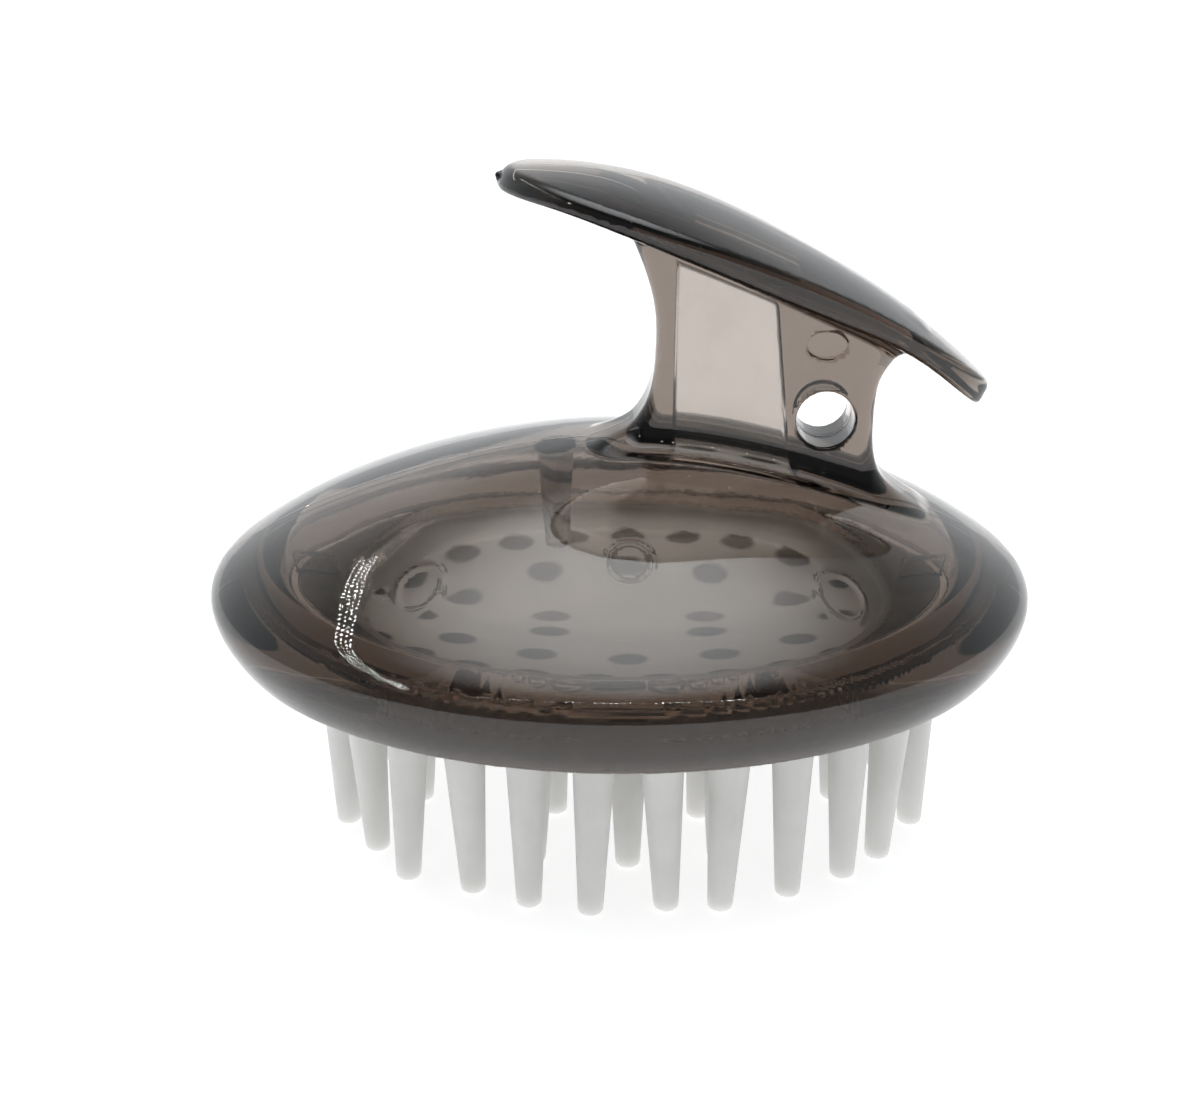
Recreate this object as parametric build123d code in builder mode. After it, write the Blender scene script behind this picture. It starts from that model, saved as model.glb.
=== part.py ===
from build123d import *
from math import atan2, degrees
import os

# Hand-held scalp massager brush, millimetres.
# The origin is the middle of the oval shell, on the plane of the bristle tips.
# X runs along the oval, Y across it, Z up.

os.makedirs("parts", exist_ok=True)

# Shell dome
shell_half_x = 50.0        # half length of the oval at its widest level
shell_half_y = 38.8        # half width of the oval at its widest level
widest_z = 31.6            # level of the bull-nose rim
shell_foot_z = 25.6        # lower edge of the shell
shell_foot_inset = 2.6     # how far the lower edge tucks in under the rim
apex_z = 50.4              # top of the dome
ceiling_z = 48.2           # inside top of the dome
cavity_half_x = 42.3       # inside of the rim wall above the ledge
cavity_half_y = 31.0
pocket_half_x = 43.3       # pocket for the carrier frame below the ledge
pocket_half_y = 32.0
ledge_z = 30.0             # the carrier frame stops against this ledge

# Stem and hanging hole
stem_half_y = 3.9
stem_left_side = [          # waisted side, from the paddle down to the dome
    (-0.8, 79.2),
    (2.4, 72.3),
    (4.0, 66.5),
    (4.1, 61.0),
    (3.3, 56.0),
    (1.7, 53.1),
    (-1.3, 50.0),
]
stem_top = (16.0, 72.8)      # buried in the paddle
stem_right_side = [
    (33.6, 63.6),
    (31.9, 60.9),
    (30.5, 58.6),
    (29.9, 54.5),
    (30.3, 48.6),
    (31.7, 45.3),
    (34.8, 41.6),
]
stem_corner_r = 1.8
stem_foot_r = 3.2          # blend into the dome
stem_head_r = 2.4          # blend into the paddle
core_half_y = 1.9          # hollow core that opens into the dome
core_outline = [(6.2, 44.0), (20.7, 44.0), (18.2, 67.6), (6.4, 72.2)]
hole_x = 24.1
hole_z = 53.7
hole_r = 3.4
hole_rim_r = 0.4

# Paddle, laid out along a chord that slopes down to the right
paddle_tip_x = -13.0
paddle_tip_z = 82.6
paddle_slope = 24.1        # degrees
paddle_length = 62.0       # along the chord
paddle_underside = [        # along the middle, thickest over the stem
    (-18.0, 80.5),
    (-14.2, 80.1),
    (-7.7, 79.5),
    (0.0, 77.5),
    (7.5, 74.6),
    (16.6, 70.4),
    (25.6, 66.2),
    (32.8, 62.5),
    (39.2, 57.3),
    (48.5, 48.6),
]
paddle_crown = 2.3         # rise of the middle over the rim
paddle_half_y = 13.4       # widest half width
paddle_edge_r = 0.8        # rounding of the paddle's rim

# Moulding stub inside the dome
stub_x = -7.5
stub_foot_z = 33.9
stub_foot_r = 1.45
stub_taper = 2.9           # degrees

# Carrier frame
frame_gap = 0.3
frame_plate = 2.0
skirt_wall = 2.1
window_half_x = 34.5       # straight ends of the frame opening
window_corner_r = 12.0
blade_half_y = 0.8
blade_height = 3.5

# Bristle pad
pad_top_z = ledge_z - frame_plate
pad_foot_z = 20.7          # underside, where the bristles start
pad_floor = 2.2            # thickness of the floor of the tray
tray_wall = 2.0
bristle_root_r = 2.5
bristle_tip_r = 1.5
bristle_round = 0.45
field_shift = 1.2          # the bristle field sits slightly toward the hanging hole
ring_sizes = [(25, 36.5, 25.0), (12, 26.3, 15.5)]
inner_spots = [(-9.7, -3.8), (-9.7, 3.8), (9.7, -3.8), (9.7, 3.8)]


def ring_spots(count, half_x, half_y):
    """Centres spaced evenly along an oval, the first one at the middle of the back."""
    oval = Edge.make_ellipse(half_x, half_y)
    spots = []
    for index in range(count):
        spot = oval.position_at((0.25 + index / count) % 1.0)
        spots.append((spot.X + field_shift, spot.Y))
    return spots


def window(half_x, half_y, end_x, corner_r):
    """Oval opening with straight ends."""
    with BuildSketch() as opening:
        Ellipse(half_x, half_y)
        Rectangle(2 * end_x, 3 * half_y, mode=Mode.INTERSECT)
        fillet(opening.vertices(), radius=corner_r)
    return opening.sketch


def stem_joints(body):
    """Edges where the stem meets the dome or the paddle."""
    return body.edges().filter_by(
        lambda edge: -4 < (edge @ 0.5).X < 37
        and abs((edge @ 0.5).Y) < stem_half_y + 0.3
        and abs((edge % 0.5).Z) < 0.95
        and edge.geom_type != GeomType.CIRCLE
    )


def runs_across(edge):
    """Whether an edge is a surface seam that runs straight across the stem."""
    return edge.length > 4 and abs((edge % 0.5).Y) > 0.97


# Paddle: a crowned strip swept along the ridge line, then trimmed underneath and to the leaf outline
with BuildPart() as paddle:
    with BuildLine(Plane.XZ) as ridge:
        Spline(
            (-17.0, 82.4),
            (-8.0, 82.6),
            (0.0, 81.7),
            (8.0, 79.5),
            (20.0, 74.0),
            (32.0, 66.9),
            (40.0, 60.6),
            (48.0, 52.8),
        )
    strip_half = paddle_half_y + 1.5
    strip_drop = paddle_crown * (strip_half / paddle_half_y) ** 2
    strip_foot = 8.0
    with BuildSketch(Plane(ridge.line @ 0, x_dir=(0, 1, 0), z_dir=ridge.line % 0)) as strip:
        with BuildLine():
            ThreePointArc((-strip_half, -strip_drop), (0, 0), (strip_half, -strip_drop))
            Line((strip_half, -strip_drop), (strip_half, -strip_foot))
            Line((strip_half, -strip_foot), (-strip_half, -strip_foot))
            Line((-strip_half, -strip_foot), (-strip_half, -strip_drop))
        make_face()
    sweep(path=ridge.line)
    with BuildSketch(Plane.XZ):
        with BuildLine():
            under_line = Spline(*paddle_underside)
            Polyline(under_line @ 1, (48.5, 30.0), (-18.0, 30.0), under_line @ 0)
        make_face()
    extrude(amount=20, both=True, mode=Mode.SUBTRACT)
    chord = Plane((paddle_tip_x, 0, paddle_tip_z)).rotated((0, paddle_slope, 0))
    near_side = [
        (4.6, -8.0),
        (12.2, -12.2),
        (20.4, -paddle_half_y),
        (32.0, -11.8),
        (44.0, -9.0),
        (54.0, -6.0),
    ]
    far_side = [(along, -across) for along, across in reversed(near_side)]
    with BuildSketch(chord) as leaf:
        with BuildLine():
            Spline((0, 0), *near_side, (paddle_length, 0), *far_side, periodic=True)
        make_face()
    extrude(amount=20, both=True, mode=Mode.INTERSECT)
    fillet(paddle.edges().filter_by(lambda edge: edge.length > 9), radius=paddle_edge_r)

# Stem: a waisted flat bar with rounded corners and the hanging hole, long enough to bury both ends
with BuildPart() as stem_bar:
    with BuildSketch(Plane.XZ):
        with BuildLine():
            left_line = Spline(*stem_left_side)
            right_line = Spline(*stem_right_side)
            Polyline(left_line @ 0, stem_top, right_line @ 0)
            Polyline(left_line @ 1, (-1.3, 38.0), (34.8, 38.0), right_line @ 1)
        make_face()
    extrude(amount=stem_half_y, both=True)
    side_edges = stem_bar.edges().filter_by(GeomType.BSPLINE)
    fillet(side_edges, radius=stem_corner_r)
    with BuildSketch(Plane.XZ):
        with Locations((hole_x, hole_z)):
            Circle(hole_r)
    extrude(amount=stem_half_y + 1, both=True, mode=Mode.SUBTRACT)
    hole_rims = stem_bar.edges().filter_by(lambda edge: edge.geom_type == GeomType.CIRCLE and edge.radius > 3)
    fillet(hole_rims, radius=hole_rim_r)

# Stub left by the filling runner: it hangs from the ceiling, so the hollow is cut around it
with BuildPart() as stub_pin:
    with BuildSketch(Plane.XY.offset(stub_foot_z)):
        with Locations((stub_x, 0)):
            Circle(stub_foot_r)
    extrude(amount=apex_z - 1 - stub_foot_z, taper=-stub_taper)
    chamfer(stub_pin.edges().group_by(Axis.Z)[0], length=0.3)

# Inside of the shell: rounded ceiling above the ledge, a wider pocket below it,
# and the slot of the core pin that leaves the left part of the stem hollow
with BuildPart() as dome_hollow:
    with BuildSketch(Plane.XZ):
        with BuildLine():
            ceiling_line = Spline(
                (0, ceiling_z),
                (24.0, 43.9),
                (35.5, 39.2),
                (40.3, 36.4),
                (cavity_half_x, 33.0),
                tangents=[(1, 0), (0, -1)],
            )
            Line(ceiling_line @ 1, (cavity_half_x, ledge_z - 1))
            Line((cavity_half_x, ledge_z - 1), (0, ledge_z - 1))
            Line((0, ledge_z - 1), (0, ceiling_z))
        make_face()
    revolve(axis=Axis.Z)
    scale(by=(1, cavity_half_y / cavity_half_x, 1))
    with BuildSketch(Plane.XY.offset(shell_foot_z - 5)):
        Ellipse(pocket_half_x, pocket_half_y)
    extrude(amount=ledge_z - shell_foot_z + 5)
    add(stub_pin.part, mode=Mode.SUBTRACT)
    with BuildSketch(Plane.XZ):
        with BuildLine():
            Polyline(*core_outline, close=True)
        make_face()
    extrude(amount=core_half_y, both=True)

# Handle shell: dome, stem and paddle in one moulding
with BuildPart() as handle_shell:
    with BuildSketch(Plane.XZ):
        with BuildLine():
            dome_line = Spline(
                (0, apex_z),
                (25.0, 46.0),
                (37.5, 41.3),
                (46.0, 36.5),
                (shell_half_x, widest_z),
                tangents=[(1, 0), (0, -1)],
            )
            foot_line = Spline(
                dome_line @ 1,
                (shell_half_x - 0.8, 28.4),
                (shell_half_x - shell_foot_inset, shell_foot_z),
                tangents=[(0, -1), (-0.85, -1)],
            )
            Line(foot_line @ 1, (0, shell_foot_z))
            Line((0, shell_foot_z), (0, apex_z))
        make_face()
    revolve(axis=Axis.Z)
    scale(by=(1, shell_half_y / shell_half_x, 1))
    add(paddle.part)
    add(stem_bar.part)

    foot_edges = stem_joints(handle_shell).filter_by(lambda edge: (edge @ 0.5).Z < 52)
    fillet(foot_edges, radius=stem_foot_r)
    head_edges = stem_joints(handle_shell).filter_by(
        lambda edge: (edge @ 0.5).Z > 58 and edge.length > 1 and not runs_across(edge)
    )
    fillet(head_edges, radius=stem_head_r)

    add(dome_hollow.part, mode=Mode.SUBTRACT)
handle_shell.part.label = "handle_shell"
export_step(handle_shell.part, "parts/handle_shell.step")


# Carrier frame: flat plate with a large window, skirt below, upright blade at each end
frame_half_x = pocket_half_x - frame_gap
frame_half_y = pocket_half_y - frame_gap
frame_window = window(frame_half_x - 2, frame_half_y - 2.4, window_half_x, window_corner_r)
with BuildPart() as carrier_frame:
    with BuildSketch(Plane.XY.offset(pad_top_z)):
        Ellipse(frame_half_x, frame_half_y)
        add(frame_window, mode=Mode.SUBTRACT)
    extrude(amount=frame_plate)
    with BuildSketch(Plane.XY.offset(shell_foot_z)):
        Ellipse(frame_half_x, frame_half_y)
        Ellipse(frame_half_x - skirt_wall, frame_half_y - skirt_wall, mode=Mode.SUBTRACT)
    extrude(amount=pad_top_z - shell_foot_z)
    with BuildSketch(Plane.XY.offset(ledge_z)):
        with Locations((37.6, 0), (-37.6, 0)):
            Rectangle(6.4, 2 * blade_half_y)
    extrude(amount=blade_height)
carrier_frame.part.label = "carrier_frame"
export_step(carrier_frame.part, "parts/carrier_frame.step")


# Bristle pad: thick oval tray and all its bristles, one soft moulding
pad_half_x = frame_half_x - skirt_wall - frame_gap
pad_half_y = frame_half_y - skirt_wall - frame_gap
tray_half_x = pad_half_x - tray_wall
tray_half_y = pad_half_y - tray_wall
tray_window = window(tray_half_x, tray_half_y, window_half_x - 0.5, window_corner_r)
bristle_slope = degrees(atan2(bristle_root_r - bristle_tip_r, pad_foot_z))
spots = [(x + field_shift, y) for x, y in inner_spots]
for count, ring_half_x, ring_half_y in ring_sizes:
    spots += ring_spots(count, ring_half_x, ring_half_y)
with BuildPart() as bristle_pad:
    with BuildSketch(Plane.XY.offset(pad_foot_z)):
        Ellipse(pad_half_x, pad_half_y)
    extrude(amount=pad_top_z - pad_foot_z)
    fillet(bristle_pad.edges().group_by(Axis.Z)[0], radius=1.2)
    with BuildSketch(Plane.XY.offset(pad_foot_z + pad_floor)):
        add(tray_window)
    extrude(amount=pad_top_z - pad_foot_z, mode=Mode.SUBTRACT)
    with BuildSketch(Plane.XY):
        with Locations(*spots):
            Circle(bristle_tip_r)
    extrude(amount=pad_foot_z + 1, taper=-bristle_slope)
    tip_edges = bristle_pad.edges().group_by(Axis.Z)[0]
    fillet(tip_edges, radius=bristle_round)
bristle_pad.part.label = "bristle_pad"
export_step(bristle_pad.part, "parts/bristle_pad.step")
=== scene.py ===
"""Scalp massager brush: smoky clear shell with stem and paddle, carrier frame, frosted bristle pad.

Each moulding is described as a field, a signed distance in millimetres that is negative inside the
plastic, and turned into one closed mesh. That keeps every blend and eased edge of the real mouldings.
"""

import math

import bpy
import numpy as np
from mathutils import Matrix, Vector


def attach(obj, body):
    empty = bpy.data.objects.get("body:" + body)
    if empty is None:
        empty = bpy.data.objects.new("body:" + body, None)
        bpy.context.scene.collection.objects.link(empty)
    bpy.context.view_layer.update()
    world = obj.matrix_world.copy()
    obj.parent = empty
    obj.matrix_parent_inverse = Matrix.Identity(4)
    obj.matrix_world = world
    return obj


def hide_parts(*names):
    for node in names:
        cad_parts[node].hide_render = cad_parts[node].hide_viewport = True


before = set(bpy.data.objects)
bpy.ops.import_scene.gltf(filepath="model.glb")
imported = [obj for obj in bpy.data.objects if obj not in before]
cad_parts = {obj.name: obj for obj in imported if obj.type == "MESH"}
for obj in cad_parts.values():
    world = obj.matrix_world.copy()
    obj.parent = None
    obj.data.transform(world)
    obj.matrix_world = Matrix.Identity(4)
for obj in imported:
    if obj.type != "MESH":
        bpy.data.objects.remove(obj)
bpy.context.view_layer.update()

MM = 0.001

# Shell dome
SHELL_HALF_X = 50.0
SHELL_HALF_Y = 38.8
WIDEST_Z = 31.6
FOOT_Z = 25.6
APEX_Z = 50.4
CEILING_Z = 48.2
CAVITY_HALF_X = 42.3
CAVITY_HALF_Y = 31.0
POCKET_HALF_X = 43.3
POCKET_HALF_Y = 32.0
LEDGE_Z = 30.0
DOME_LINE = [(0.0, APEX_Z), (25.0, 46.0), (37.5, 41.3), (46.0, 36.5), (SHELL_HALF_X, WIDEST_Z)]
FOOT_LINE = [(SHELL_HALF_X, WIDEST_Z), (49.2, 28.4), (47.4, FOOT_Z)]
CEILING_LINE = [(0.0, CEILING_Z), (24.0, 43.9), (35.5, 39.2), (40.3, 36.4), (CAVITY_HALF_X, 33.0)]

# Stem and hanging hole
STEM_HALF_Y = 3.9
STEM_LEFT_SIDE = [
    (-0.8, 79.2),
    (2.4, 72.3),
    (4.0, 66.5),
    (4.1, 61.0),
    (3.3, 56.0),
    (1.7, 53.1),
    (-1.3, 50.0),
]
STEM_RIGHT_SIDE = [
    (33.6, 63.6),
    (31.9, 60.9),
    (30.5, 58.6),
    (29.9, 54.5),
    (30.3, 48.6),
    (31.7, 45.3),
    (34.8, 41.6),
]
STEM_TOP = (16.0, 72.8)  # buried in the paddle
STEM_BASE_Z = 40.0  # buried in the dome
STEM_CORNER_R = 1.8
STEM_FOOT_R = 3.2
STEM_HEAD_R = 2.4
CORE_HALF_Y = 1.9
CORE_OUTLINE = [(6.2, 44.0), (20.7, 44.0), (18.2, 67.6), (6.4, 72.2)]
CORE_ROUND = 0.5
HOLE_X = 24.1
HOLE_Z = 53.7
HOLE_R = 3.4
HOLE_RIM_R = 0.45
HOLE_STEP = 0.12  # small step inside the hole, where the halves of the mould meet
HOLE_STEP_WIDTH = 0.15

# Paddle
RIDGE_LINE = [
    (-17.0, 82.4),
    (-8.0, 82.6),
    (0.0, 81.7),
    (8.0, 79.5),
    (20.0, 74.0),
    (32.0, 66.9),
    (40.0, 60.6),
    (48.0, 52.8),
]
PADDLE_TIP = (-13.0, 82.6)
PADDLE_SLOPE = math.radians(24.1)
PADDLE_LENGTH = 62.0
UNDERSIDE_LINE = [
    (-18.0, 80.5),
    (-14.2, 80.1),
    (-7.7, 79.5),
    (0.0, 77.5),
    (7.5, 74.6),
    (16.6, 70.4),
    (25.6, 66.2),
    (32.8, 62.5),
    (39.2, 57.3),
    (48.5, 48.6),
]
PADDLE_CROWN = 2.3
PADDLE_HALF_Y = 13.4
PADDLE_EDGE_R = 0.8
LEAF_SIDE = [(4.6, 8.0), (12.2, 12.2), (20.4, PADDLE_HALF_Y), (32.0, 11.8), (44.0, 9.0), (54.0, 6.0)]

# Filling stub, round marks left by the mould, and the eased edges inside
STUB_X = -7.5
STUB_FOOT_Z = 33.9
STUB_FOOT_R = 1.45
STUB_TAPER = math.radians(2.9)
STUB_FOOT_ROUND = 0.3
HOLLOW_BLEND = 0.4
LEDGE_ROUND = 0.3
EJECTOR_SPOTS = [(-21.7, -21.0), (1.2, -21.0), (24.2, -21.0)]
EJECTOR_R = 2.6
EJECTOR_DEPTH = 0.12
EJECTOR_WIDTH = 0.35

STEM_MARK = (23.8, 62.8)  # oval dimple on the front of the stem
STEM_MARK_HALF = (2.4, 1.7)
STEM_MARK_DEPTH = 0.3
STEM_MARK_FLOOR_R = 0.25
STEM_MARK_RIM_R = 0.15
GATE_MARK = (-13.6, 0.0, 81.3)  # broken-off gate on the tip of the paddle
GATE_MARK_R = 0.6
GATE_MARK_BLEND = 0.2

# Carrier frame
FRAME_HALF_X = 43.0
FRAME_HALF_Y = 31.7
FRAME_PLATE = 2.0
SKIRT_WALL = 2.1
PLATE_ROUND = 0.3
SKIRT_ROUND = 0.2
BURIED = 0.5  # how far the skirt runs up into the plate, and half as far as the blades run down into it
WINDOW_HALF = (41.0, 29.3)
WINDOW_END_X = 34.5
WINDOW_CORNER_R = 12.0
BLADE_X = 37.6
BLADE_HALF = (3.2, 0.8)
BLADE_HEIGHT = 3.5

# Bristle pad
PAD_HALF = (40.6, 29.3)
PAD_TOP_Z = 28.0
PAD_FOOT_Z = 20.7
TRAY_FLOOR_Z = 22.9
TRAY_HALF = (38.6, 27.3)
TRAY_END_X = 34.0
PAD_TOP_ROUND = 0.2
PAD_FOOT_ROUND = 1.2
TRAY_FLOOR_ROUND = 0.6
TRAY_RIM_ROUND = 0.3
BRISTLE_ROOT_R = 2.5
BRISTLE_TIP_R = 1.5
BRISTLE_TIP_ROUND = 0.5
BRISTLE_ROOT_BLEND = 0.7
BRISTLE_BURIED = 1.0  # how far a bristle runs up into the tray's floor
BRISTLE_REACH = 6.5  # beyond this a bristle can't touch the surface
LEAN_X = 0.035  # most that a bristle leans, as a slope
LEAN_Y = 0.030
FIELD_SHIFT = 1.2
RING_SIZES = [(25, 36.5, 25.0), (12, 26.3, 15.5)]
INNER_SPOTS = [(-9.7, -3.8), (-9.7, 3.8), (9.7, -3.8), (9.7, 3.8)]
PAINTED_ROOT_SHADE = "painted_shade_over_bristle"  # attribute for painted shade: marks where the tray floor's colour is darkened over each bristle, where the silicone is deep

RANGE_INPUTS = ("From Min", "From Max", "To Min", "To Max")


# ---------------------------------------------------------------- curves and tables


def smooth_curve(points, start=None, end=None, closed=False, per_span=40):
    """Points along a cubic spline through the given points, with end directions if given."""
    knots = np.array(points, float)
    if closed:
        knots = np.vstack([knots[-3:], knots, knots[:4]])
    step = np.hypot(*np.diff(knots, axis=0).T)
    place = np.concatenate([[0.0], np.cumsum(step)])
    count = len(knots)
    matrix = np.zeros((count, count))
    right = np.zeros((count, 2))
    for i in range(1, count - 1):
        before, after = step[i - 1], step[i]
        matrix[i, i - 1 : i + 2] = 1 / before, 2 / before + 2 / after, 1 / after
        rise_before = (knots[i] - knots[i - 1]) / before**2
        rise_after = (knots[i + 1] - knots[i]) / after**2
        right[i] = 3 * (rise_before + rise_after)
    for i, way, near in ((0, start, 1), (count - 1, end, count - 2)):
        matrix[i, i] = 1.0 if way is not None else 2.0
        matrix[i, near] = 0.0 if way is not None else 1.0
        slope = (knots[max(i, near)] - knots[min(i, near)]) / abs(place[i] - place[near])
        right[i] = np.array(way) / np.hypot(*way) if way is not None else 3 * slope
    slopes = np.linalg.solve(matrix, right)
    spans = range(3, count - 4) if closed else range(count - 1)
    line = []
    for i in spans:
        t = np.linspace(0, 1, per_span, endpoint=False)[:, None]
        line.append(
            (2 * t**3 - 3 * t**2 + 1) * knots[i]
            + (t**3 - 2 * t**2 + t) * step[i] * slopes[i]
            + (3 * t**2 - 2 * t**3) * knots[i + 1]
            + (t**3 - t**2) * step[i] * slopes[i + 1]
        )
    if not closed:
        line.append(knots[-1:])
    return np.vstack(line)


class Table:
    """A field of two coordinates, kept on a grid and read back smoothly."""

    sharp = False  # True reads with cubic weights, which the finished surface needs

    def __init__(self, line, low, high, inside, step=0.25):
        self.low = np.array(low, float)
        self.step = step
        self.shape = tuple(int(math.ceil((b - a) / step)) + 1 for a, b in zip(low, high))
        u, v = np.meshgrid(*(a + step * np.arange(n) for a, n in zip(low, self.shape)), indexing="ij")
        start, run = line[:-1], np.diff(line, axis=0)
        real = np.hypot(*run.T) > 1e-6
        start, run = start[real], run[real]
        nearest = np.full(u.shape, 1e9)
        for (a, b), (du, dv) in zip(start, run):
            share = np.clip(((u - a) * du + (v - b) * dv) / (du * du + dv * dv), 0, 1)
            nearest = np.minimum(nearest, (u - a - share * du) ** 2 + (v - b - share * dv) ** 2)
        self.values = np.sqrt(nearest) * np.where(inside(u, v, line), -1.0, 1.0)
        self.across = np.gradient(self.values, step, axis=0)

    def read(self, grid, u, v):
        p = np.clip((u - self.low[0]) / self.step, 1, self.shape[0] - 3)
        q = np.clip((v - self.low[1]) / self.step, 1, self.shape[1] - 3)
        i, j = p.astype(np.int32), q.astype(np.int32)
        s, t = p - i, q - j
        if not Table.sharp:
            near = grid[i, j] * (1 - s) + grid[i + 1, j] * s
            far = grid[i, j + 1] * (1 - s) + grid[i + 1, j + 1] * s
            return near * (1 - t) + far * t
        total = 0.0
        for a, wa in zip((-1, 0, 1, 2), cubic_weights(s)):
            for b, wb in zip((-1, 0, 1, 2), cubic_weights(t)):
                total = total + wa * wb * grid[i + a, j + b]
        return total

    def at(self, u, v):
        return self.read(self.values, u, v)


def cubic_weights(t):
    """Catmull-Rom weights of the four grid values around a point."""
    return (
        ((2 - t) * t - 1) * t / 2,
        ((3 * t - 5) * t * t + 2) / 2,
        ((4 - 3 * t) * t + 1) * t / 2,
        (t - 1) * t * t / 2,
    )


def in_loop(u, v, line):
    """Whether each point lies inside the closed line."""
    result = np.zeros(u.shape, bool)
    for (a, b), (c, d) in zip(line[:-1], line[1:]):
        if b != d:
            crosses = ((b > v) != (d > v)) & (u < (c - a) * (v - b) / (d - b) + a)
            result ^= crosses
    return result


def under_line(u, v, line):
    """Whether each point lies below an open line that runs along the first coordinate."""
    return v < np.interp(u, line[:, 0], line[:, 1])


def drawn_out(line):
    """An open line with both ends carried on, well past the paddle."""
    return np.vstack([line[:1] - (20, -1), line, line[-1:] + 400 * (line[-1] - line[-2])])


def mirrored(side):
    """A half outline from the axis outwards, closed by its mirror image."""
    other = side[::-1] * (-1, 1)
    return np.vstack([side, other, side[:1]])


# ---------------------------------------------------------------- fields


def join(a, b, radius=0.0):
    """Both shapes, with a fillet of that radius where they meet."""
    if radius == 0.0:
        return np.minimum(a, b)
    return np.maximum(radius, np.minimum(a, b)) - np.hypot(
        np.maximum(radius - a, 0), np.maximum(radius - b, 0)
    )


def overlap(a, b, radius=0.0):
    """What is in both shapes, with its edge rounded to that radius."""
    return -join(-a, -b, radius)


def cut(a, b, radius=0.0):
    """The first shape less the second, with the new edge rounded."""
    return overlap(a, -b, radius)


def oval(x, y, half_x, half_y):
    """An upright oval wall."""
    ratio = half_x / half_y
    reach = np.sqrt(x * x + (ratio * y) ** 2) + 1e-6
    growth = np.sqrt(x * x + (ratio * ratio * y) ** 2) / reach
    return (reach - half_x) / np.maximum(growth, 0.5)


def turned(table, x, y, z, ratio):
    """A profile turned round the upright axis, then narrowed across to that ratio."""
    reach = np.sqrt(x * x + (y / ratio) ** 2) + 1e-6
    growth = (x * x + (y / ratio**2) ** 2) / reach**2
    across = table.read(table.across, reach, z)
    return table.at(reach, z) / np.sqrt(1 + np.clip(across, -1, 1) ** 2 * (growth - 1))


def dome_tables():
    """Half profiles of the dome's outside and of the hollow under it."""
    top = smooth_curve(DOME_LINE, (1, 0), (0, -1))
    foot = smooth_curve(FOOT_LINE, (0, -1), (-0.85, -1))
    outside = mirrored(np.vstack([[(0.0, APEX_Z)], top[1:], foot[1:], [(0.0, FOOT_Z)]]))
    ceiling = smooth_curve(CEILING_LINE, (1, 0), (0, -1))
    inside = mirrored(np.vstack([ceiling, [(CAVITY_HALF_X, 8.0)], [(0.0, 8.0)]]))
    low, high = (-2.0, 12.0), (60.0, 62.0)
    return Table(outside, low, high, in_loop), Table(inside, low, high, in_loop)


def paddle_tables():
    """The paddle's ridge line and underside, seen from the side, and its leaf outline from above."""
    ridge = drawn_out(smooth_curve(RIDGE_LINE))
    underside = drawn_out(smooth_curve(UNDERSIDE_LINE))
    leaf_points = [(0.0, 0.0)] + [(a, -b) for a, b in LEAF_SIDE]
    leaf_points += [(PADDLE_LENGTH, 0.0)] + LEAF_SIDE[::-1]
    leaf = smooth_curve(leaf_points, closed=True)
    leaf = np.vstack([leaf, leaf[:1]])
    return (
        Table(ridge, (-30.0, 30.0), (70.0, 100.0), under_line),
        Table(underside, (-30.0, 30.0), (70.0, 100.0), under_line),
        Table(leaf, (-25.0, -45.0), (85.0, 45.0), in_loop),
    )


def stem_outline():
    """The waisted stem, seen from the front."""
    left = smooth_curve(STEM_LEFT_SIDE)
    right = smooth_curve(STEM_RIGHT_SIDE)[::-1]
    below = [(left[-1, 0], STEM_BASE_Z), (right[0, 0], STEM_BASE_Z)]
    outline = np.vstack([left, below, right, [STEM_TOP], left[:1]])
    return Table(outline, (-20.0, 30.0), (60.0, 92.0), in_loop)


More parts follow.
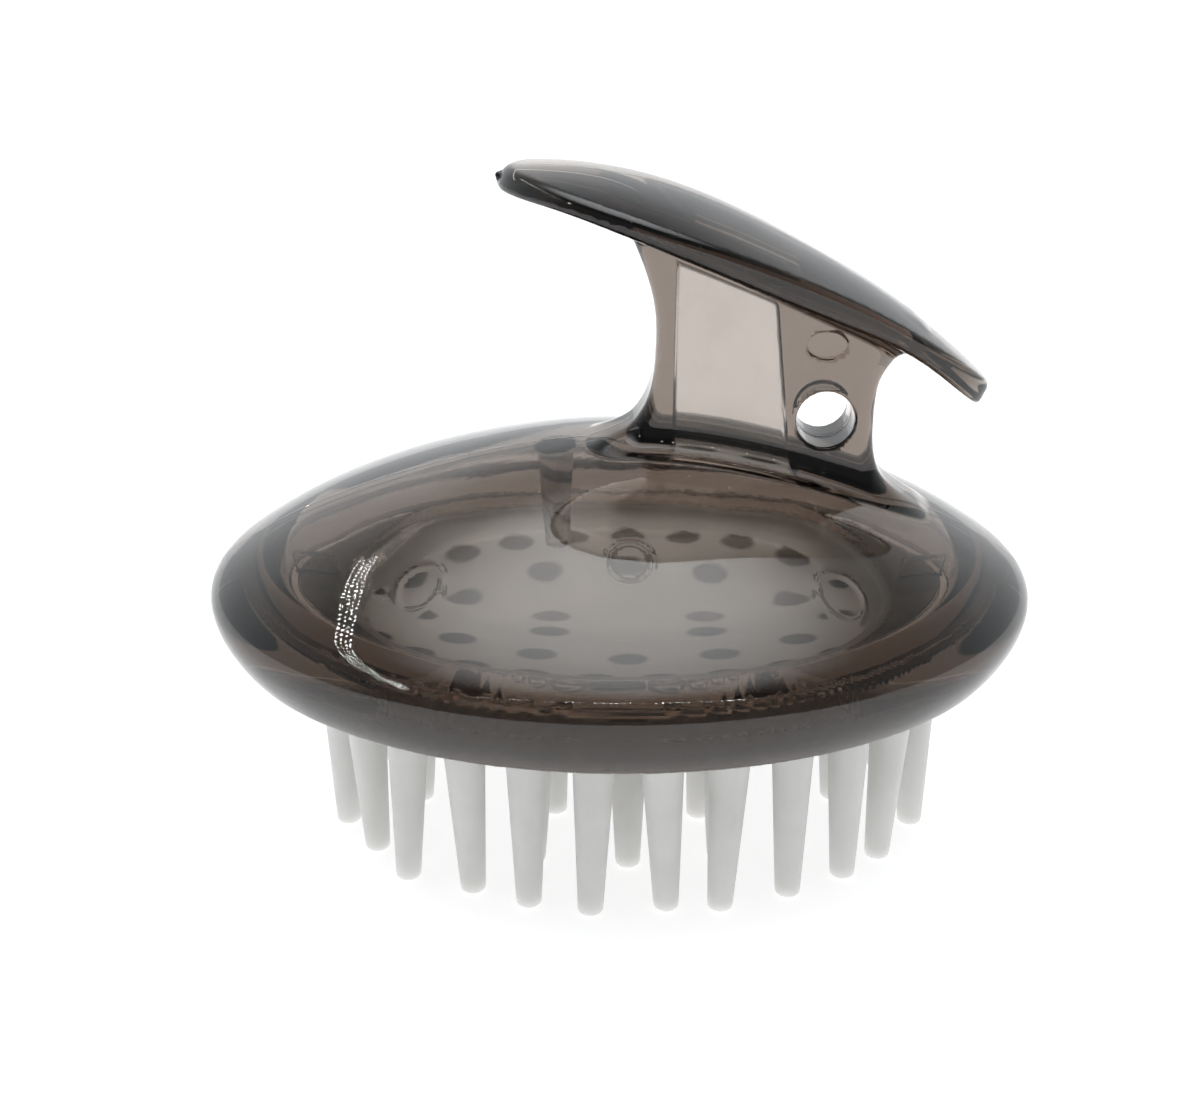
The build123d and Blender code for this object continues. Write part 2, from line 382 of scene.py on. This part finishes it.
def shell_field():
    """Dome, stem and paddle in one moulding, with everything that is hollow in it."""
    stem_table = stem_outline()
    dome_table, hollow_table = dome_tables()
    ridge_table, underside_table, leaf_table = paddle_tables()
    corners = np.array(CORE_OUTLINE)

    def stem(x, y, z):
        return overlap(stem_table.at(x, z), np.abs(y) - STEM_HALF_Y, STEM_CORNER_R)

    def paddle(x, y, z):
        over_ridge = ridge_table.at(x, z)
        along = (x - PADDLE_TIP[0]) * math.cos(PADDLE_SLOPE) - (z - PADDLE_TIP[1]) * math.sin(PADDLE_SLOPE)
        leaf = leaf_table.at(along, y)
        crown = over_ridge + PADDLE_CROWN * (y / PADDLE_HALF_Y) ** 2
        steepness = np.sqrt(1 + (2 * PADDLE_CROWN * y / PADDLE_HALF_Y**2) ** 2)
        top = overlap(crown / steepness, leaf, PADDLE_EDGE_R)
        return overlap(top, -underside_table.at(x, z), PADDLE_EDGE_R)

    def core(x, y, z):
        sides = np.full(x.shape, -1e9)
        for (ax, az), (bx, bz) in zip(corners, np.roll(corners, -1, axis=0)):
            long = math.hypot(bx - ax, bz - az)
            sides = np.maximum(sides, ((bz - az) * (x - ax) - (bx - ax) * (z - az)) / long)
        return overlap(sides, np.abs(y) - CORE_HALF_Y, CORE_ROUND)

    def inside(x, y, z):
        hollow = turned(hollow_table, x, y, z, CAVITY_HALF_Y / CAVITY_HALF_X)
        for spot_x, spot_y in EJECTOR_SPOTS:
            off_ring = np.hypot(x - spot_x, y - spot_y) - EJECTOR_R
            hollow = hollow - EJECTOR_DEPTH * np.exp(-((off_ring / EJECTOR_WIDTH) ** 2))
        stub_r = STUB_FOOT_R + (z - STUB_FOOT_Z) * math.tan(STUB_TAPER)
        stub = overlap(np.hypot(x - STUB_X, y) - stub_r, STUB_FOOT_Z - z, STUB_FOOT_ROUND)
        hollow = cut(hollow, stub, HOLLOW_BLEND)
        hollow = join(hollow, core(x, y, z), HOLLOW_BLEND)
        pocket = overlap(oval(x, y, POCKET_HALF_X, POCKET_HALF_Y), z - LEDGE_Z)
        return join(hollow, pocket)

    def dimple(x, y, z):
        across = (x - STEM_MARK[0]) / STEM_MARK_HALF[0]
        up = (z - STEM_MARK[1]) / STEM_MARK_HALF[1]
        rim = (np.hypot(across, up) - 1) * STEM_MARK_HALF[1]
        return overlap(rim, y + STEM_HALF_Y - STEM_MARK_DEPTH, STEM_MARK_FLOOR_R)

    def gate(x, y, z):
        to_middle = (x - GATE_MARK[0]) ** 2 + (y - GATE_MARK[1]) ** 2 + (z - GATE_MARK[2]) ** 2
        return np.sqrt(to_middle) - GATE_MARK_R

    def hole(x, y, z):
        step = HOLE_STEP / (1 + np.exp(-np.clip(y / HOLE_STEP_WIDTH, -30, 30)))
        return np.hypot(x - HOLE_X, z - HOLE_Z) - HOLE_R + step

    def field(x, y, z):
        dome = turned(dome_table, x, y, z, SHELL_HALF_Y / SHELL_HALF_X)
        body = join(dome, stem(x, y, z), STEM_FOOT_R)
        body = join(body, paddle(x, y, z), STEM_HEAD_R)
        body = cut(body, inside(x, y, z), LEDGE_ROUND)
        body = cut(body, dimple(x, y, z), STEM_MARK_RIM_R)
        body = join(body, gate(x, y, z), GATE_MARK_BLEND)
        return cut(body, hole(x, y, z), HOLE_RIM_R)

    return field


def window(x, y, half, end_x):
    """An upright oval wall with straight ends."""
    return overlap(oval(x, y, *half), np.abs(x) - end_x, WINDOW_CORNER_R)


def frame_field(x, y, z):
    """Oval plate with a window, a skirt below it and an upright blade at each end."""
    outer = oval(x, y, FRAME_HALF_X, FRAME_HALF_Y)
    plate_top = PAD_TOP_Z + FRAME_PLATE
    plate = cut(outer, window(x, y, WINDOW_HALF, WINDOW_END_X))
    plate = overlap(plate, np.abs(z - (PAD_TOP_Z + plate_top) / 2) - FRAME_PLATE / 2, PLATE_ROUND)
    inner = oval(x, y, FRAME_HALF_X - SKIRT_WALL, FRAME_HALF_Y - SKIRT_WALL)
    skirt_top = PAD_TOP_Z + BURIED
    in_skirt = np.abs(z - (FOOT_Z + skirt_top) / 2) - (skirt_top - FOOT_Z) / 2
    skirt = overlap(cut(outer, inner), in_skirt, SKIRT_ROUND)
    blade = overlap(np.abs(np.abs(x) - BLADE_X) - BLADE_HALF[0], np.abs(y) - BLADE_HALF[1], SKIRT_ROUND)
    blade_middle = plate_top + BLADE_HEIGHT / 2 - BURIED
    blade = overlap(blade, np.abs(z - blade_middle) - BLADE_HEIGHT / 2 - BURIED, SKIRT_ROUND)
    return join(join(plate, skirt), blade, PLATE_ROUND)


def bristle_spots():
    """Root centres: two evenly spaced ovals, from the middle of the back, and four inside them."""
    spots = [(x + FIELD_SHIFT, y) for x, y in INNER_SPOTS]
    for count, half_x, half_y in RING_SIZES:
        turn = np.linspace(0, 2 * math.pi, 4001)
        line = np.stack([half_x * np.sin(turn), half_y * np.cos(turn)], axis=1)
        run = np.concatenate([[0.0], np.cumsum(np.hypot(*np.diff(line, axis=0).T))])
        for place in np.arange(count) / count * run[-1]:
            x = np.interp(place, run, line[:, 0])
            y = np.interp(place, run, line[:, 1])
            spots.append((x + FIELD_SHIFT, y))
    return spots


def pad_field():
    """Oval tray with rounded edges, and tapered bristles that each lean a little."""
    bristles = []
    for index, (x, y) in enumerate(bristle_spots()):
        lean_x = LEAN_X * math.sin(2.4 * index + 0.7)
        lean_y = LEAN_Y * math.sin(3.9 * index + 2.1)
        bristles.append((x, y, lean_x, lean_y))
    slope = (BRISTLE_ROOT_R - BRISTLE_TIP_R) / PAD_FOOT_Z

    def field(x, y, z):
        top = z - PAD_TOP_Z
        body = overlap(oval(x, y, *PAD_HALF), top, PAD_TOP_ROUND)
        body = overlap(body, PAD_FOOT_Z - z, PAD_FOOT_ROUND)
        tray = overlap(window(x, y, TRAY_HALF, TRAY_END_X), TRAY_FLOOR_Z - z, TRAY_FLOOR_ROUND)
        body = cut(body, tray, TRAY_RIM_ROUND)
        for spot_x, spot_y, lean_x, lean_y in bristles:
            near = np.hypot(x - spot_x, y - spot_y) < BRISTLE_REACH
            px, py, pz = x[near], y[near], z[near]
            down = PAD_FOOT_Z - pz
            side = np.hypot(px - spot_x - lean_x * down, py - spot_y - lean_y * down)
            cone = side - (BRISTLE_TIP_R + slope * pz)
            cone = overlap(cone, -pz, BRISTLE_TIP_ROUND)
            cone = np.maximum(cone, pz - PAD_FOOT_Z - BRISTLE_BURIED)
            body[near] = join(body[near], cone, BRISTLE_ROOT_BLEND)
        return body

    return field


# ---------------------------------------------------------------- surface from a field


def sample(field, low, step, shape):
    """The field on a grid, worked out slab by slab."""
    values = np.empty(shape, np.float32)
    ys = low[1] + step * np.arange(shape[1])
    zs = low[2] + step * np.arange(shape[2])
    for first in range(0, shape[0], 16):
        last = min(first + 16, shape[0])
        xs = low[0] + step * np.arange(first, last)
        values[first:last] = field(*np.meshgrid(xs, ys, zs, indexing="ij"))
    return values


def slope_of(field, points, reach=0.04):
    """The gradient of the field at each point."""
    x, y, z = points.T
    gradient = np.empty_like(points)
    for axis in range(3):
        shift = np.zeros(3)
        shift[axis] = reach
        ahead = field(x + shift[0], y + shift[1], z + shift[2])
        behind = field(x - shift[0], y - shift[1], z - shift[2])
        gradient[:, axis] = (ahead - behind) / (2 * reach)
    return gradient


def surface_net(field, low, high, step):
    """Points and four-sided faces close to the surface, one point in each grid cell that it crosses."""
    shape = tuple(int(math.ceil((b - a) / step)) + 1 for a, b in zip(low, high))
    values = sample(field, low, step, shape)
    cells = tuple(n - 1 for n in shape)
    total = np.zeros(cells + (3,), np.float32)
    hits = np.zeros(cells, np.int16)
    crossings = []
    for axis in range(3):
        ahead = np.take(values, range(1, shape[axis]), axis=axis)
        behind = np.take(values, range(0, shape[axis] - 1), axis=axis)
        places = np.argwhere((ahead < 0) != (behind < 0))
        a = behind[tuple(places.T)]
        b = ahead[tuple(places.T)]
        points = places.astype(np.float32)
        points[:, axis] += a / (a - b)
        crossings.append((axis, places, a < 0))
        for back in ((0, 0), (0, 1), (1, 0), (1, 1)):
            cell = cell_behind(places, axis, back)
            np.add.at(total, cell, points)
            np.add.at(hits, cell, 1)
    used = np.argwhere(hits > 0)
    number = np.full(cells, -1, np.int32)
    number[tuple(used.T)] = np.arange(len(used))
    points = total[tuple(used.T)] / hits[tuple(used.T)][:, None]
    quads = []
    for axis, places, leaving in crossings:
        ring = [number[cell_behind(places, axis, back)] for back in ((1, 1), (0, 1), (0, 0), (1, 0))]
        quad = np.stack(ring, axis=1)
        quad[~leaving] = quad[~leaving][:, ::-1]
        quads.append(quad)
    return low + step * points.astype(float), np.vstack(quads)


def cell_behind(places, axis, back):
    """The cell beside a grid edge, that many cells back along the other two axes."""
    cell = places.copy()
    cell[:, (axis + 1) % 3] -= back[0]
    cell[:, (axis + 2) % 3] -= back[1]
    return tuple(cell.T)


def settle(field, points, step):
    """The points moved onto the surface, and its direction at each of them."""
    for _ in range(3):
        gradient = slope_of(field, points)
        size = np.maximum((gradient**2).sum(1), 0.25)
        move = -(field(*points.T) / size)[:, None] * gradient
        longest = np.maximum(np.linalg.norm(move, axis=1), 1e-9)
        points += move * np.minimum(1, 0.5 * step / longest)[:, None]
    normals = slope_of(field, points)
    return points, normals / np.linalg.norm(normals, axis=1)[:, None]


def moulding(name, field, low, high, step, node, body="root"):
    """One closed mesh on the surface of a field, in place of a CAD node."""
    step = step
    Table.sharp = False
    points, quads = surface_net(field, np.array(low, float), high, step)
    Table.sharp = True
    points, normals = settle(field, points, step)
    mesh = bpy.data.meshes.new(name)
    mesh.from_pydata((points * MM).tolist(), [], quads.tolist())
    mesh.shade_smooth()
    mesh.normals_split_custom_set_from_vertices(normals.tolist())
    mesh.update()
    piece = bpy.data.objects.new(name, mesh)
    bpy.context.scene.collection.objects.link(piece)
    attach(piece, body)
    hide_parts(node)
    return piece


# ---------------------------------------------------------------- materials


class Nodes:
    """Short names for making shader nodes."""

    def __init__(self, name):
        self.material = bpy.data.materials.new(name)
        self.material.use_nodes = True
        self.tree = self.material.node_tree
        self.shader = self.tree.nodes["Principled BSDF"]
        self.output = self.tree.nodes["Material Output"]

    def add(self, kind, **inputs):
        node = self.tree.nodes.new(kind)
        for key, value in inputs.items():
            node.inputs[key].default_value = value
        return node

    def link(self, a, b):
        self.tree.links.new(a, b)

    def object_space(self):
        return self.add("ShaderNodeTexCoord").outputs["Object"]

    def noise(self, scale, detail=3.0, roughness=0.5):
        node = self.add("ShaderNodeTexNoise", Scale=scale, Detail=detail, Roughness=roughness)
        self.link(self.object_space(), node.inputs["Vector"])
        return node.outputs["Fac"]

    def spread(self, value, low, high, out_low, out_high):
        node = self.tree.nodes.new("ShaderNodeMapRange")
        for key, number in zip(RANGE_INPUTS, (low, high, out_low, out_high)):
            node.inputs[key].default_value = number
        self.link(value, node.inputs["Value"])
        return node.outputs["Result"]

    def two_tones(self, value, first, second):
        """A colour that runs between two (place, colour) pairs."""
        node = self.tree.nodes.new("ShaderNodeValToRGB")
        for element, (place, color) in zip(node.color_ramp.elements, (first, second)):
            element.position = place
            element.color = (*color, 1)
        self.link(value, node.inputs["Fac"])
        return node.outputs["Color"]

    def bump(self, height, distance, strength=1.0, before=None):
        node = self.add("ShaderNodeBump", Strength=strength, Distance=distance)
        self.link(height, node.inputs["Height"])
        if before is not None:
            self.link(before, node.inputs["Normal"])
        return node.outputs["Normal"]


def smoky_plastic(name, parting_line):
    """Clear grey-brown plastic: the tint is in its depth, with faint flow waves and handling haze."""
    nodes = Nodes(name)
    shader = nodes.shader
    shader.inputs["Transmission Weight"].default_value = 1.0
    shader.inputs["IOR"].default_value = 1.54
    haze = nodes.noise(140.0, 5.0, 0.6)
    tint = nodes.two_tones(haze, (0.35, (0.96, 0.957, 0.953)), (0.6, (1.0, 1.0, 1.0)))
    nodes.link(tint, shader.inputs["Base Color"])
    nodes.link(nodes.spread(haze, 0.5, 0.8, 0.012, 0.09), shader.inputs["Roughness"])
    normal = nodes.bump(nodes.noise(45.0, 2.0), 0.00022)
    normal = nodes.bump(nodes.noise(900.0, 3.0), 0.000004, before=normal)
    if parting_line:
        split = nodes.add("ShaderNodeSeparateXYZ")
        nodes.link(nodes.object_space(), split.inputs["Vector"])
        away = nodes.tree.nodes.new("ShaderNodeMath")
        away.operation = "ABSOLUTE"
        nodes.link(split.outputs["Y"], away.inputs[0])
        flash = nodes.spread(away.outputs["Value"], 0.00002, 0.00016, 1.0, 0.0)
        normal = nodes.bump(flash, 0.00012, before=normal)
    nodes.link(normal, shader.inputs["Normal"])
    depth = nodes.add("ShaderNodeVolumeAbsorption", Color=(0.30, 0.20, 0.12, 1), Density=300.0)
    nodes.link(depth.outputs["Volume"], nodes.output.inputs["Volume"])
    return nodes.material


def paint_root_shade(piece):
    """Painted shade: over each bristle the tray floor's colour is darkened, in place of the light that the
    deep silicone there lets through less.
    """
    points = np.array([vertex.co for vertex in piece.data.vertices]) / MM
    nearest = np.full(len(points), 1e9)
    for x, y in bristle_spots():
        nearest = np.minimum(nearest, np.hypot(points[:, 0] - x, points[:, 1] - y))
    on_floor = np.abs(points[:, 2] - TRAY_FLOOR_Z) < 0.4
    soft_edge, spot_r = 0.6, BRISTLE_ROOT_R + 0.15
    amount = np.clip((spot_r - nearest) / soft_edge, 0, 1) * on_floor
    attribute = piece.data.attributes.new(PAINTED_ROOT_SHADE, "FLOAT", "POINT")
    attribute.data.foreach_set("value", amount.astype(np.float32))


def frosted_silicone():
    """Milky translucent silicone with a dull moulded skin, and painted shade over each bristle's root."""
    nodes = Nodes("frosted_silicone")
    shader = nodes.shader
    cloud = nodes.noise(90.0, 4.0, 0.55)
    tint = nodes.two_tones(cloud, (0.3, (0.56, 0.557, 0.546)), (0.7, (0.64, 0.637, 0.627)))
    root_shade_mask = nodes.tree.nodes.new("ShaderNodeAttribute")
    root_shade_mask.attribute_name = PAINTED_ROOT_SHADE
    shade = nodes.tree.nodes.new("ShaderNodeMix")
    shade.data_type = "RGBA"
    shade.blend_type = "MULTIPLY"
    # colour of the painted shade, multiplied into the tray floor over each bristle
    shade.inputs["B"].default_value = (0.3, 0.29, 0.27, 1)
    nodes.link(root_shade_mask.outputs["Fac"], shade.inputs["Factor"])
    nodes.link(tint, shade.inputs["A"])
    nodes.link(shade.outputs["Result"], shader.inputs["Base Color"])
    shader.inputs["IOR"].default_value = 1.41
    shader.inputs["Subsurface Weight"].default_value = 1.0
    shader.inputs["Subsurface Radius"].default_value = (1.0, 0.98, 0.94)
    shader.inputs["Subsurface Scale"].default_value = 0.009
    nodes.link(nodes.spread(cloud, 0.3, 0.7, 0.5, 0.62), shader.inputs["Roughness"])
    normal = nodes.bump(nodes.noise(60.0, 2.0), 0.0002)
    normal = nodes.bump(nodes.noise(1400.0, 3.0), 0.000015, before=normal)
    nodes.link(normal, shader.inputs["Normal"])
    return nodes.material


# ---------------------------------------------------------------- stage, lights, camera


def stage_material(name, color, glow):
    nodes = Nodes(name)
    nodes.shader.inputs["Base Color"].default_value = (*color, 1)
    nodes.shader.inputs["Roughness"].default_value = 0.9
    nodes.shader.inputs["Emission Color"].default_value = (1, 1, 1, 1)
    nodes.shader.inputs["Emission Strength"].default_value = glow
    return nodes.material


def stage_plane(name, centre, across, up, material, cells=(1, 1), fill=1.0):
    """A flat patch, or a row or grid of small patches, each filling that share of its cell."""
    verts, faces = [], []
    centre, across, up = Vector(centre), Vector(across), Vector(up)
    for i in range(cells[0]):
        for j in range(cells[1]):
            middle = centre + across * ((i + 0.5) / cells[0] - 0.5) + up * ((j + 0.5) / cells[1] - 0.5)
            half_u = across * (0.5 * fill / cells[0])
            half_v = up * (0.5 * fill / cells[1])
            first = len(verts)
            verts += [middle - half_u - half_v, middle + half_u - half_v]
            verts += [middle + half_u + half_v, middle - half_u + half_v]
            faces.append((first, first + 1, first + 2, first + 3))
    mesh = bpy.data.meshes.new(name)
    mesh.from_pydata([tuple(v) for v in verts], [], faces)
    mesh.materials.append(material)
    patch = bpy.data.objects.new(name, mesh)
    bpy.context.scene.collection.objects.link(patch)
    return patch


def build_stage():
    """A pale floor, and two strips of small lamps that show as dotted reflections."""
    floor = stage_material("floor_white", (0.5, 0.5, 0.5), 0.75)
    stage_plane("floor", (0, 1.0, -0.0003), (6, 0, 0), (0, 6, 0), floor)
    leds = stage_material("led_cells", (1, 1, 1), 45.0)
    middle, run, width = (0, -0.415, 0.475), (0.62, 0, 0), (0, 0.004, 0.005)
    stage_plane("led_strip_front", middle, run, width, leds, cells=(46, 1), fill=0.5)
    middle, run, width = (-0.40, -0.02, 0.43), (-0.10, -0.66, -0.08), (0.03, 0, 0.03)
    stage_plane("led_strip_left", middle, run, width, leds, cells=(52, 4), fill=0.3)
    build_surroundings()


def build_surroundings():
    """A pale wall behind, a dimmer room in front, and a soft light from above."""
    world = bpy.data.worlds.new("studio")
    world.use_nodes = True
    bpy.context.scene.world = world
    tree = world.node_tree
    back = tree.nodes["Background"]
    back.inputs["Color"].default_value = (0.95, 0.98, 1.0, 1)
    where = tree.nodes.new("ShaderNodeTexCoord")
    split = tree.nodes.new("ShaderNodeSeparateXYZ")
    tree.links.new(where.outputs["Generated"], split.inputs["Vector"])
    parts = []
    for source, interpolation, values in (
        ("Y", "LINEAR", (-0.6, 0.7, 0.2, 1.05)),
        ("Z", "LINEAR", (0.45, 0.7, 1.0, 0.5)),
        ("Z", "SMOOTHSTEP", (0.78, 1.0, 0.0, 3.6)),
    ):
        ramp = tree.nodes.new("ShaderNodeMapRange")
        ramp.interpolation_type = interpolation
        for key, number in zip(RANGE_INPUTS, values):
            ramp.inputs[key].default_value = number
        tree.links.new(split.outputs[source], ramp.inputs["Value"])
        parts.append(ramp.outputs["Result"])
    strength = parts[0]
    for operation, part in (("MULTIPLY", parts[1]), ("ADD", parts[2])):
        node = tree.nodes.new("ShaderNodeMath")
        node.operation = operation
        tree.links.new(strength, node.inputs[0])
        tree.links.new(part, node.inputs[1])
        strength = node.outputs["Value"]
    tree.links.new(strength, back.inputs["Strength"])


def place_camera():
    data = bpy.data.cameras.new("camera")
    data.sensor_width = 36.0
    data.lens = 52.01
    data.clip_start = 0.01
    camera = bpy.data.objects.new("camera", data)
    target = Vector((-2.3, 0.0, 34.7)) * MM
    azimuth, elevation, distance = math.radians(0.67), math.radians(24.0), 213.7 * MM
    level = math.cos(elevation)
    away = Vector((math.sin(azimuth) * level, -math.cos(azimuth) * level, math.sin(elevation)))
    camera.location = target + distance * away
    camera.rotation_euler = (target - camera.location).to_track_quat("-Z", "Y").to_euler()
    bpy.context.scene.collection.objects.link(camera)
    bpy.context.scene.camera = camera


# ---------------------------------------------------------------- build


shell = moulding("shell", shell_field(), (-52, -41, 24), (52, 41, 86), 0.45, "handle_shell")
carrier = moulding("frame_ring", frame_field, (-45, -34, 24), (45, 34, 35.5), 0.4, "carrier_frame")
pad = moulding("pad", pad_field(), (-43, -32, -1.5), (43, 32, 29.5), 0.4, "bristle_pad")
shell.data.materials.append(smoky_plastic("smoky_clear_plastic", True))
carrier.data.materials.append(smoky_plastic("smoky_clear_plastic_frame", False))
pad.data.materials.append(frosted_silicone())
# painted shade on the tray floor over each bristle's root
paint_root_shade(pad)

build_stage()
place_camera()
scene = bpy.context.scene
scene.view_settings.view_transform = "Standard"
scene.cycles.max_bounces = 32
scene.cycles.transmission_bounces = 32
scene.cycles.transparent_max_bounces = 32
scene.cycles.glossy_bounces = 12
scene.cycles.diffuse_bounces = 6
